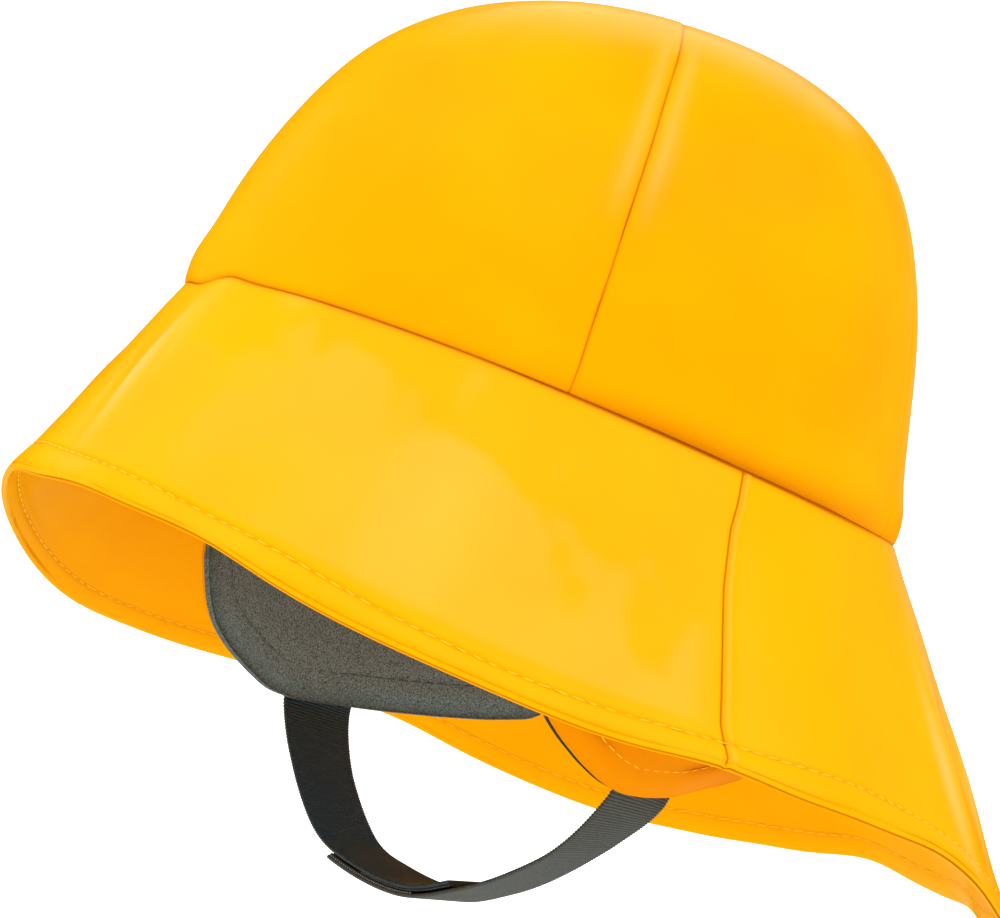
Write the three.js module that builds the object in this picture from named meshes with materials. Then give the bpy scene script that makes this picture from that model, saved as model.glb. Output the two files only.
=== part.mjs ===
// A child's sou'wester rain hat, in millimetres, +Z up.
// The origin is the middle of the head opening, level with the crown seam.
// The brow is at -Y, the wearer's left ear at +X. Angles go round the head
// from the brow (0) over the left ear (90) to the nape (180).
import * as THREE from 'three';

// Head opening, at the outside of the crown seam
const BAND_HALF_LENGTH = 93.5;
const BAND_HALF_WIDTH = 83.5;
// The seam is this much higher at brow and nape, and lower over the ears
const SEAM_SWAY = 2.1;

// Crown
const CROWN_HEIGHT = 98;
const CROWN_WALL = 1.4;
const TIP_FORWARD = 0.9;
const TIP_OPENING = 1;
const FRONT_SEAM_ANGLE = 52.8;
const REAR_SEAM_ANGLE = 120.2;
// Each panel swells between its seams, and the seams sink in
const PANEL_PUFF = 1.6;
const SEAM_SHARE_OF_PUFF = 0.55;

// Brim
const BRIM_FRONT = 63;
const BRIM_BACK = 92;
const BRIM_WALL = 1.8;
const BRIM_SEAM_ANGLE = 80;
const HEM_WIDTH = 10;
const HEM_WALL = 2.6;
const CROWN_OVERHANG = 0.8;
const FOLD_DEPTH = 3;

// Ear flaps: a cloth outside and a fleece inside, with the strap's end between them
const FLAP_DROP = 78;
const FLAP_WALL = 1.2;
const FLEECE_WALL = 1.8;
const CHEEK_HALF_WIDTH = 60;
const CHEEK_HALF_LENGTH = 80;

// Chin strap of webbing, closed with a hook pad on a loop pad
const STRAP_WIDTH = 20;
const STRAP_WALL = 1.2;
const STRAP_DROP = 36;
const STRAP_ANGLE = 100;
const STRAP_TUCK = 7;
const STRAP_SLOT_ROOM = 0.8;
const PAD_WALL = 0.8;
const PAD_LENGTH = 30;
// The pads are this much narrower than the webbing at each edge
const PAD_INSET = 0.5;

// Space between pieces that touch
const GAP = 0.3;

// How the crown rises at brow, ear and nape, as shares of the band and of the height:
// its wall is drawn to wallReach at wallRise, and its top to topReach
const CROWN_PROFILE = {
  brow: { wallReach: 0.89, wallRise: 0.64, topReach: 0.55 },
  ear: { wallReach: 0.94, wallRise: 0.78, topReach: 0.73 },
  nape: { wallReach: 0.68, wallRise: 0.815, topReach: 0.74 },
};

// The brim's length every 30 degrees, as a share of a length that grows evenly
// from brow to nape, and its slope below the horizontal, in degrees
const BRIM_SECTIONS = [
  { length: 1, slope: 66.5 },
  { length: 1.055, slope: 69 },
  { length: 1.04, slope: 67 },
  { length: 0.96, slope: 60 },
  { length: 1, slope: 56 },
  { length: 1.055, slope: 53 },
  { length: 1, slope: 50.5 },
  { length: 1.055, slope: 55 },
  { length: 0.99, slope: 56.5 },
  { length: 1.045, slope: 63 },
  { length: 0.99, slope: 65.5 },
  { length: 0.935, slope: 66.5 },
];
// How much steeper the brim is at its hem than at its seam, in degrees
const BRIM_BEND = { brow: 4, ear: -3.5, nape: 5.5 };

// Soft folds in the brim: where, how wide in degrees, and depth as a share of FOLD_DEPTH
const BRIM_FOLDS = [
  { angle: 14, spread: 7, depth: -0.5 },
  { angle: 28, spread: 9, depth: 0.35 },
  { angle: 96, spread: 7, depth: 0.4 },
  { angle: 152, spread: 7, depth: -0.7 },
  { angle: 196, spread: 8, depth: 0.8 },
];

// The flaps' lower edge: angle round the head, and the drop on the wearer's right
// and left as shares of FLAP_DROP
const FLAP_EDGE = [
  { angle: 66.5, right: 0.69, left: 0.7 },
  { angle: 68, right: 0.78, left: 0.78 },
  { angle: 71, right: 0.85, left: 0.84 },
  { angle: 76, right: 0.9, left: 0.885 },
  { angle: 82, right: 0.955, left: 0.93 },
  { angle: 88, right: 1, left: 0.963 },
  { angle: 94, right: 1.01, left: 0.98 },
  { angle: 100, right: 1, left: 0.97 },
  { angle: 107, right: 0.975, left: 0.94 },
  { angle: 115, right: 0.94, left: 0.885 },
  { angle: 125, right: 0.895, left: 0.835 },
  { angle: 135, right: 0.845, left: 0.8 },
  { angle: 144, right: 0.8, left: 0.765 },
  { angle: 149, right: 0.72, left: 0.69 },
];

// The strap's course below the flaps, from the wearer's right to the left: across as a
// share of the span between its ends, down as a share of STRAP_DROP, and how far its
// rear edge leans up, in degrees
const STRAP_COURSE = [
  { across: -0.8, down: 0.45, lean: 6 },
  { across: -0.52, down: 0.85, lean: 10 },
  { across: -0.25, down: 0.97, lean: 13 },
  { across: 0.1, down: 0.98, lean: 14 },
  { across: 0.32, down: 0.85, lean: 10 },
  { across: 0.54, down: 0.65, lean: 12 },
  { across: 0.8, down: 0.35, lean: 12 },
];
// Where the halves end, as shares of the whole course from the wearer's right flap
const RIGHT_HALF_END = 0.62;
const LEFT_HALF_START = 0.36;

// Fineness of the meshes
const DEGREES_PER_COLUMN = 6;
const CROWN_ROWS = 14;
const BRIM_ROWS = 10;
const FLAP_ROWS = 8;
const STRAP_STEPS = 44;

const YELLOW = new THREE.MeshStandardMaterial({ color: 0xffc20c, roughness: 0.38, metalness: 0 });
const BRIM_YELLOW = new THREE.MeshStandardMaterial({ color: 0xffc728, roughness: 0.38, metalness: 0 });
const FLAP_YELLOW = new THREE.MeshStandardMaterial({ color: 0xf5a40a, roughness: 0.42, metalness: 0 });
const FLEECE = new THREE.MeshStandardMaterial({ color: 0x53544d, roughness: 0.95, metalness: 0 });
const WEBBING = new THREE.MeshStandardMaterial({ color: 0x55564f, roughness: 0.7, metalness: 0 });
const PAD = new THREE.MeshStandardMaterial({ color: 0x262722, roughness: 0.6, metalness: 0 });

const hat = new THREE.Group();

const radians = THREE.MathUtils.degToRad;
const lerp = THREE.MathUtils.lerp;
const smoothstep = THREE.MathUtils.smoothstep;

// A point of the ellipse round the head, and its outward direction
function ringPoint(angle, halfLength, halfWidth) {
  const turn = radians(angle);
  return new THREE.Vector3(halfWidth * Math.sin(turn), -halfLength * Math.cos(turn), 0);
}

function ringOutward(angle) {
  const turn = radians(angle);
  const x = Math.sin(turn) / BAND_HALF_WIDTH;
  const y = -Math.cos(turn) / BAND_HALF_LENGTH;
  return new THREE.Vector3(x, y, 0).normalize();
}

// Millimetres along the band for each degree round the head
function ringStretch(angle) {
  const turn = radians(angle);
  return radians(Math.hypot(BAND_HALF_WIDTH * Math.cos(turn), BAND_HALF_LENGTH * Math.sin(turn)));
}

function seamHeight(angle) {
  return SEAM_SWAY * Math.cos(2 * radians(angle));
}

// A value that is given at brow, ear and nape, anywhere round the head
function roundHead(angle, brow, ear, nape) {
  const turn = radians(angle);
  const mean = (brow + nape + 2 * ear) / 4;
  const frontToBack = (brow - nape) / 2;
  const endsToSides = (brow + nape - 2 * ear) / 4;
  return mean + frontToBack * Math.cos(turn) + endsToSides * Math.cos(2 * turn);
}

// A column of the brim's table, as the smooth wave through its evenly spaced rows
function roundBrim(angle, column) {
  const count = BRIM_SECTIONS.length;
  const turn = radians(angle);
  let value = 0;
  for (let wave = 0; wave <= count / 2; wave++) {
    const share = wave === 0 || wave === count / 2 ? 1 / count : 2 / count;
    BRIM_SECTIONS.forEach((row, place) => {
      const rowTurn = (2 * Math.PI * place) / count;
      value += share * row[column] * Math.cos(wave * (turn - rowTurn));
    });
  }
  return value;
}

// The crown's outside. climb is 0 at the seam and 1 at the tip, across is 0 and 1 at
// the panel's own seams
function crownPoint(angle, climb, across) {
  const { brow, ear, nape } = CROWN_PROFILE;
  const wallReach = roundHead(angle, brow.wallReach, ear.wallReach, nape.wallReach);
  const wallRise = roundHead(angle, brow.wallRise, ear.wallRise, nape.wallRise);
  const topReach = roundHead(angle, brow.topReach, ear.topReach, nape.topReach);
  const left = 1 - climb;
  const seamWeight = left ** 3;
  const wallWeight = 3 * left * left * climb;
  const topWeight = 3 * left * climb * climb;
  const reach = seamWeight + wallWeight * wallReach + topWeight * topReach;
  const rise = wallWeight * wallRise + topWeight + climb ** 3;
  const point = ringPoint(angle, BAND_HALF_LENGTH * reach, BAND_HALF_WIDTH * reach);
  const puffHere = Math.sin(Math.PI * across) - SEAM_SHARE_OF_PUFF;
  const swell = PANEL_PUFF * puffHere * Math.sin(Math.PI * Math.min(climb * 1.15, 1));
  point.addScaledVector(ringOutward(angle), swell);
  point.y -= TIP_FORWARD * rise;
  point.z = seamHeight(angle) * (1 - rise) + CROWN_HEIGHT * rise + GAP / 2;
  return point;
}

function foldOffset(angle, share) {
  let offset = 0;
  for (const fold of BRIM_FOLDS) {
    const away = THREE.MathUtils.euclideanModulo(angle - fold.angle + 180, 360) - 180;
    offset += fold.depth * FOLD_DEPTH * Math.exp(-((away / fold.spread) ** 2)) * share;
  }
  return offset;
}

// The brim's outside. share is 0 at the seam and 1 at the hem's edge
function brimPoint(angle, share) {
  const frontness = (1 + Math.cos(radians(angle))) / 2;
  const length = lerp(BRIM_BACK, BRIM_FRONT, frontness) * roundBrim(angle, 'length');
  const bend = radians(roundHead(angle, BRIM_BEND.brow, BRIM_BEND.ear, BRIM_BEND.nape));
  const seamSlope = radians(roundBrim(angle, 'slope')) - bend / 2;
  const slopeHere = seamSlope + bend * share;
  const slopeSoFar = (seamSlope + slopeHere) / 2;
  const out = length * share * Math.cos(slopeSoFar);
  const down = length * share * Math.sin(slopeSoFar);
  const fold = foldOffset(angle, share);
  const reach = out - CROWN_OVERHANG + fold * Math.sin(slopeHere);
  const point = ringPoint(angle, BAND_HALF_LENGTH, BAND_HALF_WIDTH);
  point.addScaledVector(ringOutward(angle), reach);
  point.z = seamHeight(angle) - down + fold * Math.cos(slopeHere) - GAP / 2;
  return point;
}

// The flap's outside, mirrored for the wearer's right by the caller. down is the
// distance below the seam
const FLAP_INSET = CROWN_OVERHANG + BRIM_WALL * 0.9 + GAP;
function flapPoint(angle, down) {
  const share = down / FLAP_DROP;
  const halfLength = lerp(BAND_HALF_LENGTH - FLAP_INSET, CHEEK_HALF_LENGTH, share);
  const halfWidth = lerp(BAND_HALF_WIDTH - FLAP_INSET, CHEEK_HALF_WIDTH, share);
  const point = ringPoint(angle, halfLength, halfWidth);
  point.z = seamHeight(angle) * (1 - share) - down;
  return point;
}

function flapEdge(angle, side) {
  const next = Math.max(1, FLAP_EDGE.findIndex((row) => row.angle >= angle));
  const [a, b] = [FLAP_EDGE[next - 1], FLAP_EDGE[next]];
  return FLAP_DROP * lerp(a[side], b[side], (angle - a.angle) / (b.angle - a.angle));
}

// The outward direction of a surface given as a function of two shares
const STEP = 1e-3;
function outwardOf(surface, across, along) {
  const eastward = surface(across + STEP, along).sub(surface(across - STEP, along));
  const upward = surface(across, along + STEP).sub(surface(across, along - STEP));
  const outward = eastward.cross(upward).normalize();
  const here = surface(across, along);
  const awayFromAxis = outward.x * here.x + outward.y * here.y + outward.z * BAND_HALF_WIDTH * 0.2;
  return awayFromAxis < 0 ? outward.negate() : outward;
}

// Turns a grid of points on each face of a sheet into one closed body
function closedSheet(outside, inside) {
  const rows = outside.length;
  const columns = outside[0].length;
  const positions = [...outside.flat(), ...inside.flat()].flatMap((p) => [p.x, p.y, p.z]);
  const index = [];
  const at = (face, row, column) => face * rows * columns + row * columns + column;
  const quad = (a, b, c, d) => index.push(a, b, c, a, c, d);
  for (let row = 0; row < rows - 1; row++) {
    for (let column = 0; column < columns - 1; column++) {
      quad(at(0, row, column), at(0, row, column + 1), at(0, row + 1, column + 1), at(0, row + 1, column));
      quad(at(1, row, column), at(1, row + 1, column), at(1, row + 1, column + 1), at(1, row, column + 1));
    }
    const last = columns - 1;
    quad(at(0, row, 0), at(0, row + 1, 0), at(1, row + 1, 0), at(1, row, 0));
    quad(at(0, row, last), at(1, row, last), at(1, row + 1, last), at(0, row + 1, last));
  }
  for (let column = 0; column < columns - 1; column++) {
    const last = rows - 1;
    quad(at(0, 0, column), at(1, 0, column), at(1, 0, column + 1), at(0, 0, column + 1));
    quad(at(0, last, column), at(0, last, column + 1), at(1, last, column + 1), at(1, last, column));
  }
  const geometry = new THREE.BufferGeometry();
  geometry.setAttribute('position', new THREE.Float32BufferAttribute(positions, 3));
  geometry.setIndex(signedVolume(positions, index) < 0 ? index.reverse() : index);
  geometry.computeVertexNormals();
  return geometry;
}

function signedVolume(positions, index) {
  const corner = (n) => new THREE.Vector3().fromArray(positions, 3 * index[n]);
  let volume = 0;
  for (let n = 0; n < index.length; n += 3) {
    volume += corner(n).dot(corner(n + 1).cross(corner(n + 2))) / 6;
  }
  return volume;
}

// A cloth wall whose outside is surface(across, along), both from 0 to 1. A level rim
// is cut level all through the wall
function clothWall({ surface, columns, rows, wall, setBack = 0, levelRim = false }) {
  const outside = [];
  const inside = [];
  for (let row = 0; row <= rows; row++) {
    const along = row / rows;
    outside.push([]);
    inside.push([]);
    for (let column = 0; column <= columns; column++) {
      const across = column / columns;
      const outward = outwardOf(surface, across, along);
      if (levelRim && row === 0) outward.setZ(0).normalize();
      const point = surface(across, along);
      outside[row].push(point.clone().addScaledVector(outward, -setBack));
      inside[row].push(point.clone().addScaledVector(outward, -setBack - wall(along)));
    }
  }
  return closedSheet(outside, inside);
}

function addPiece(name, geometry, material) {
  const piece = new THREE.Mesh(geometry, material);
  piece.name = name;
  hat.add(piece);
}

// Crown of four gores that meet at the tip
function crownPanel(name, fromAngle, toAngle) {
  const tipClimb = 1 - TIP_OPENING / (3 * CROWN_PROFILE.ear.topReach * BAND_HALF_WIDTH);
  const surface = (across, along) => {
    const climb = tipClimb * along;
    const left = 1 - climb;
    const narrowing = Math.max(left ** 3 + 3 * left * climb * (left + climb * CROWN_PROFILE.ear.topReach), 1e-3);
    const startInset = GAP / 2 / (ringStretch(fromAngle) * narrowing);
    const endInset = GAP / 2 / (ringStretch(toAngle) * narrowing);
    const angle = lerp(fromAngle + startInset, toAngle - endInset, across);
    return crownPoint(angle, climb, across);
  };
  const columns = Math.round((toAngle - fromAngle) / DEGREES_PER_COLUMN);
  const shape = { surface, columns, rows: CROWN_ROWS, wall: () => CROWN_WALL, levelRim: true };
  addPiece(name, clothWall(shape), YELLOW);
}

crownPanel('crown_front_panel', -FRONT_SEAM_ANGLE, FRONT_SEAM_ANGLE);
crownPanel('crown_left_panel', FRONT_SEAM_ANGLE, REAR_SEAM_ANGLE);
crownPanel('crown_back_panel', REAR_SEAM_ANGLE, 360 - REAR_SEAM_ANGLE);
crownPanel('crown_right_panel', 360 - REAR_SEAM_ANGLE, 360 - FRONT_SEAM_ANGLE);

// Brim of a front and a back piece, joined over the ears, with a turned hem
function brimPiece(name, fromAngle, toAngle) {
  const surface = (across, along) => {
    const startInset = GAP / 2 / ringStretch(fromAngle);
    const endInset = GAP / 2 / ringStretch(toAngle);
    return brimPoint(lerp(fromAngle + startInset, toAngle - endInset, across), along);
  };
  const hemStart = 1 - HEM_WIDTH / BRIM_FRONT;
  const wall = (along) => lerp(BRIM_WALL, HEM_WALL, smoothstep(along, hemStart - 0.04, hemStart));
  const columns = Math.round((toAngle - fromAngle) / DEGREES_PER_COLUMN);
  addPiece(name, clothWall({ surface, columns, rows: BRIM_ROWS, wall }), BRIM_YELLOW);
}

brimPiece('brim_front', -BRIM_SEAM_ANGLE, BRIM_SEAM_ANGLE);
brimPiece('brim_back', BRIM_SEAM_ANGLE, 360 - BRIM_SEAM_ANGLE);

// Ear flaps
const SIDES = { right: -1, left: 1 };
const SLOT = STRAP_WALL + 2 * STRAP_SLOT_ROOM;
const FLAP_TOP = GAP * 2;
function flapSurface(side) {
  const first = FLAP_EDGE[0].angle;
  const span = FLAP_EDGE[FLAP_EDGE.length - 1].angle - first;
  return (across, along) => {
    const angle = first + span * across;
    const point = flapPoint(angle, lerp(FLAP_TOP, flapEdge(angle, side), along));
    point.x *= SIDES[side];
    return point;
  };
}

const FLAP_COLUMNS = 22;
for (const side of Object.keys(SIDES)) {
  const shared = { surface: flapSurface(side), columns: FLAP_COLUMNS, rows: FLAP_ROWS };
  addPiece(`ear_flap_${side}`, clothWall({ ...shared, wall: () => FLAP_WALL }), FLAP_YELLOW);
  const lining = clothWall({ ...shared, wall: () => FLEECE_WALL, setBack: FLAP_WALL + SLOT });
  addPiece(`ear_flap_lining_${side}`, lining, FLEECE);
}

// Chin strap. Its ends lie between the layers of the flaps
function strapEnd(side, aboveEdge) {
  const first = FLAP_EDGE[0].angle;
  const span = FLAP_EDGE[FLAP_EDGE.length - 1].angle - first;
  const across = (STRAP_ANGLE - first) / span;
  const along = 1 - aboveEdge / (flapEdge(STRAP_ANGLE, side) - FLAP_TOP);
  const surface = flapSurface(side);
  const outward = outwardOf(surface, across, along);
  return surface(across, along).addScaledVector(outward, -FLAP_WALL - SLOT / 2);
}

// The webbing's width runs along the flap's own surface at its ends
function strapEndYaw(side) {
  const turn = radians(STRAP_ANGLE);
  const sideways = CHEEK_HALF_WIDTH * Math.cos(turn);
  const rearward = CHEEK_HALF_LENGTH * Math.sin(turn);
  return SIDES[side] * Math.atan2(sideways, rearward);
}

// Heights above a flap's edge of the points where the strap still follows the flap
const FLAT_RUN = [STRAP_TUCK, STRAP_TUCK / 2, -STRAP_WALL * 2];
const endRows = (side) => FLAT_RUN.map((aboveEdge) => ({
  point: strapEnd(side, aboveEdge),
  lean: 0,
  yaw: strapEndYaw(side),
}));
const edgeOf = { right: strapEnd('right', 0), left: strapEnd('left', 0) };
const halfSpan = (edgeOf.left.x - edgeOf.right.x) / 2;
const flapEdgeHeight = (edgeOf.left.z + edgeOf.right.z) / 2;
const strapMiddle = (edgeOf.left.y + edgeOf.right.y) / 2;
const courseRows = [
  ...endRows('right'),
  ...STRAP_COURSE.map((row) => ({
    point: new THREE.Vector3(row.across * halfSpan, strapMiddle, flapEdgeHeight - row.down * STRAP_DROP),
    lean: radians(row.lean),
    yaw: 0,
  })),
  ...endRows('left').reverse(),
];
const strapCurve = new THREE.CatmullRomCurve3(courseRows.map((row) => row.point));
strapCurve.arcLengthDivisions = 400;

function rowValue(share, column) {
  const place = strapCurve.getUtoTmapping(share) * (courseRows.length - 1);
  const before = Math.min(Math.floor(place), courseRows.length - 2);
  return lerp(courseRows[before][column], courseRows[before + 1][column], place - before);
}

// The strap's own directions at a share of its length: along it, across its width and
// towards the head
function strapFrame(share) {
  const along = strapCurve.getTangentAt(share);
  const yaw = rowValue(share, 'yaw');
  const level = new THREE.Vector3(Math.sin(yaw), Math.cos(yaw), 0);
  level.addScaledVector(along, -level.dot(along)).normalize();
  const headward = new THREE.Vector3().crossVectors(level, along).normalize().negate();
  const lean = rowValue(share, 'lean');
  const widthwise = level.clone().multiplyScalar(Math.cos(lean)).addScaledVector(headward, Math.sin(lean));
  const inward = headward.clone().multiplyScalar(Math.cos(lean)).addScaledVector(level, -Math.sin(lean));
  return { centre: strapCurve.getPointAt(share), widthwise, inward };
}

// The halves spread apart where they overlap, to make room for the pads
const PAD_ROOM = PAD_WALL + GAP * 1.5;
function halfOffset(share, direction) {
  const spread = direction > 0
    ? smoothstep(share, 0.12, LEFT_HALF_START - 0.02)
    : 1 - smoothstep(share, RIGHT_HALF_END + 0.02, 0.88);
  return direction * spread * (PAD_ROOM + STRAP_WALL / 2);
}

function strapBand({ from, to, offset, wall, width }) {
  const steps = Math.max(4, Math.round(STRAP_STEPS * (to - from)));
  const inside = [];
  const outside = [];
  for (let step = 0; step <= steps; step++) {
    const share = lerp(from, to, step / steps);
    const { centre, widthwise, inward } = strapFrame(share);
    const middle = centre.clone().addScaledVector(inward, offset(share));
    const corner = (edge, face) => middle
      .clone()
      .addScaledVector(widthwise, (edge * width) / 2)
      .addScaledVector(inward, (face * wall) / 2);
    inside.push([-1, 0, 1].map((edge) => corner(edge, 1)));
    outside.push([-1, 0, 1].map((edge) => corner(edge, -1)));
  }
  return closedSheet(outside, inside);
}

const rightBand = { from: 0, to: RIGHT_HALF_END, offset: (share) => halfOffset(share, 1) };
const leftBand = { from: LEFT_HALF_START, to: 1, offset: (share) => halfOffset(share, -1) };
const webbing = { wall: STRAP_WALL, width: STRAP_WIDTH };
addPiece('chin_strap_right', strapBand({ ...rightBand, ...webbing }), WEBBING);
addPiece('chin_strap_left', strapBand({ ...leftBand, ...webbing }), WEBBING);

const padShare = PAD_LENGTH / strapCurve.getLength();
const pad = { wall: PAD_WALL, width: STRAP_WIDTH - 2 * PAD_INSET };
const loopPad = { from: RIGHT_HALF_END - padShare, to: RIGHT_HALF_END, offset: () => (GAP + PAD_WALL) / 2 };
const hookPad = { from: LEFT_HALF_START, to: LEFT_HALF_START + padShare, offset: () => -(GAP + PAD_WALL) / 2 };
addPiece('loop_pad', strapBand({ ...loopPad, ...pad }), PAD);
addPiece('hook_pad', strapBand({ ...hookPad, ...pad }), PAD);

export default hat;
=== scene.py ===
# %% [markdown]
# # A sou'wester rain hat in Blender
# The hat is sewn from coated rain cloth: four crown gores, a brim in two pieces with a turned
# hem, two fleece-lined ear flaps and a chin strap of webbing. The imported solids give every
# piece its place. Here each one is made again as fine cloth, with seams, stitches and creases.

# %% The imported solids
import math

import bmesh
import bpy
import numpy as np
from mathutils import Matrix, Vector


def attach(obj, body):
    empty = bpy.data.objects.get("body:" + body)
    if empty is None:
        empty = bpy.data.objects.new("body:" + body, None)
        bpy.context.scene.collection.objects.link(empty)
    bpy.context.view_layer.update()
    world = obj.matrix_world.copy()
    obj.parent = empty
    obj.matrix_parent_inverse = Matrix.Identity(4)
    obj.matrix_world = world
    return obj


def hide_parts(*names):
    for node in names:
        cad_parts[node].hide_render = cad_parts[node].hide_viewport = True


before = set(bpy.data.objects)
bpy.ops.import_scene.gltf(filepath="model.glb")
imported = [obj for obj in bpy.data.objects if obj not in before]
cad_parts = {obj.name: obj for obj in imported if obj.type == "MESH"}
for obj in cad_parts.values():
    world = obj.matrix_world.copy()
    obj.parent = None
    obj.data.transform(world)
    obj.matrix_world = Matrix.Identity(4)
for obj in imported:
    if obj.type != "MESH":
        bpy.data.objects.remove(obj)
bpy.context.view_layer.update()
print("solids:", len(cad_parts))

# %% [markdown]
# ## The camera
# The hat was photographed a little from below, from the wearer's front left, with the camera
# rolled so that the hat seems tipped forward. A long lens keeps the perspective flat. The
# camera comes first, because every later piece is judged through it.

# %% The camera at the photograph's angle
AZIMUTH, ELEVATION, ROLL = 47.487, -4.904, 19.44
DISTANCE = 1.119
LENS = 175.8
TARGET = Vector((0.01158, -0.01909, -0.01297))


def direction_at(azimuth, elevation):
    """The unit vector away from the hat. Azimuth turns from the brow to the wearer's left."""
    turn, rise = math.radians(azimuth), math.radians(elevation)
    return Vector((math.sin(turn) * math.cos(rise), -math.cos(turn) * math.cos(rise), math.sin(rise)))


def add_object(name, data):
    made = bpy.data.objects.new(name, data)
    bpy.context.scene.collection.objects.link(made)
    return made


def place_camera():
    back = direction_at(AZIMUTH, ELEVATION)
    right = Vector((0, 0, 1)).cross(back).normalized()
    level = Matrix((right, back.cross(right), back)).transposed()
    data = bpy.data.cameras.new("camera")
    data.lens = LENS
    data.sensor_width = 36
    data.sensor_fit = "HORIZONTAL"
    data.clip_start, data.clip_end = 0.05, 50
    camera = add_object("camera", data)
    camera.rotation_mode = "QUATERNION"
    camera.rotation_quaternion = (level @ Matrix.Rotation(math.radians(ROLL), 3, "Z")).to_quaternion()
    camera.location = TARGET + back * DISTANCE
    bpy.context.scene.camera = camera
    return camera


camera = place_camera()
print("camera at", [round(v, 3) for v in camera.location])

# %% [markdown]
# ## The hat's sizes
# Most of these are the sizes that the solids were built from, in millimetres. The walls are
# a little thinner here, and the flaps' outlines and the brim's folds are traced more closely.
# A crown section is a curve with two handles, at brow, ear and nape, and the brim has twelve
# sections round the head. Angles go from the brow (0) over the wearer's left ear (90) to the
# nape (180).

# %% Sizes in millimetres
BAND_HALF_LENGTH, BAND_HALF_WIDTH = 93.5, 83.5
SEAM_SWAY = 2.1
SEAM_PUCKERS = ((-9, 5, 0.9), (-20, 6, -1.3))
CROWN_HEIGHT, TIP_FORWARD = 98, 0.9
FRONT_SEAM, REAR_SEAM = 52.8, 120.2
PANEL_PUFF, SEAM_SHARE_OF_PUFF = 1.6, 0.55
CROWN_WALL = 1.2
CROWN_PROFILE = {
    "wall_reach": (0.89, 0.94, 0.68),
    "wall_rise": (0.64, 0.78, 0.815),
    "top_reach": (0.55, 0.73, 0.74),
}

BRIM_FRONT, BRIM_BACK = 63, 92
BRIM_SEAM = 80
BRIM_LENGTHS = (1, 1.055, 1.04, 0.96, 1, 1.055, 1, 1.055, 0.99, 1.045, 0.99, 0.935)
BRIM_SLOPES = (66.5, 69, 67, 60, 56, 53, 50.5, 55, 56.5, 63, 65.5, 66.5)
BRIM_BEND = (4, -3.5, 5.5)
BRIM_WALL, HEM_STITCH = 1.2, 8.4
CROWN_OVERHANG = 0.8

FLAP_DROP, FLAP_TOP, FLAP_INSET = 78, 0.6, 2.72
CHEEK_HALF_WIDTH, CHEEK_HALF_LENGTH = 60, 80
FLAP_REAR = (100, 107, 115, 125, 135, 144, 149)
FLAP_ANGLES = {
    "right": (65.3, 67, 70.4, 75.7, 82, 88, 94) + FLAP_REAR,
    "left": (68.5, 69.8, 72.6, 77.4, 83.3, 88.8, 94.3) + FLAP_REAR,
}
FLAP_EDGE = {
    "right": (0.7, 0.8, 0.875, 0.93, 0.975, 1.01, 1.015, 1, 0.975, 0.945, 0.905, 0.86, 0.81, 0.72),
    "left": (0.71, 0.79, 0.85, 0.9, 0.945, 0.975, 0.985, 0.97, 0.94, 0.885, 0.835, 0.8, 0.765, 0.69),
}
SIDES = {"right": -1, "left": 1}

# %% Helpers for points and smooth values
ZED = np.array((0.0, 0.0, 1.0))


def unit(vectors):
    return vectors / np.maximum(np.linalg.norm(vectors, axis=-1, keepdims=True), 1e-12)


def smooth_step(value, low, high):
    """0 below low and 1 above high, with a soft rise between them."""
    share = np.clip((value - low) / (high - low), 0, 1)
    return share * share * (3 - 2 * share)


def bump_at(value, centre, width):
    """1 at the centre and near 0 from twice the width away."""
    return np.exp(-(((value - centre) / width) ** 2))


def ring_point(angle, half_length, half_width):
    """A point of the oval round the head."""
    turn = np.radians(angle)
    return np.stack([half_width * np.sin(turn), -half_length * np.cos(turn), 0 * turn], -1)


def ring_outward(angle):
    """The level direction away from the head."""
    turn = np.radians(angle)
    return unit(np.stack([np.sin(turn) / BAND_HALF_WIDTH, -np.cos(turn) / BAND_HALF_LENGTH, 0 * turn], -1))


def ring_stretch(angle):
    """Millimetres round the head for each degree."""
    turn = np.radians(angle)
    return np.radians(np.hypot(BAND_HALF_WIDTH * np.cos(turn), BAND_HALF_LENGTH * np.sin(turn)))


def turned(angle, middle):
    """Degrees from a middle angle, from -180 to 180."""
    return (angle - middle + 180) % 360 - 180


def waves(angle, rows):
    """Soft bumps round the head. Each row has its middle and half width in degrees, and its height."""
    total = 0 * angle
    for middle, width, height in rows:
        total = total + height * bump_at(turned(angle, middle), 0, width)
    return total


def seam_height(angle):
    """The crown's seam is a little higher at brow and nape than over the ears."""
    return SEAM_SWAY * np.cos(2 * np.radians(angle))


def round_head(angle, values):
    """A size at each angle, which runs smoothly through its values at brow, ear and nape."""
    brow, ear, nape = values
    turn = np.radians(angle)
    level, sway, pinch = (brow + nape + 2 * ear) / 4, (brow - nape) / 2, (brow + nape - 2 * ear) / 4
    return level + sway * np.cos(turn) + pinch * np.cos(2 * turn)


def round_brim(angle, values):
    """A size at each angle, which runs smoothly through values at even steps from the brow."""
    count = len(values)
    turn = np.radians(angle)
    total = 0 * turn
    for wave in range(count // 2 + 1):
        share = 1 / count if wave in (0, count // 2) else 2 / count
        for place, value in enumerate(values):
            total = total + share * value * np.cos(wave * (turn - 2 * math.pi * place / count))
    return total


def spread(length, fine, coarse, both_ends=True, growth=1.35):
    """Shares from 0 to 1 along a length, with fine steps at its ends and coarse ones between."""
    steps = []
    total, step = 0.0, fine
    reach = length / 2 if both_ends else length
    while total < reach:
        steps.append(step)
        total += step
        step = min(step * growth, coarse)
    marks = np.concatenate([[0], np.cumsum(steps)]) * reach / total
    if both_ends:
        marks = np.concatenate([marks, (length - marks[::-1])[1:]])
    return marks / length


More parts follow.
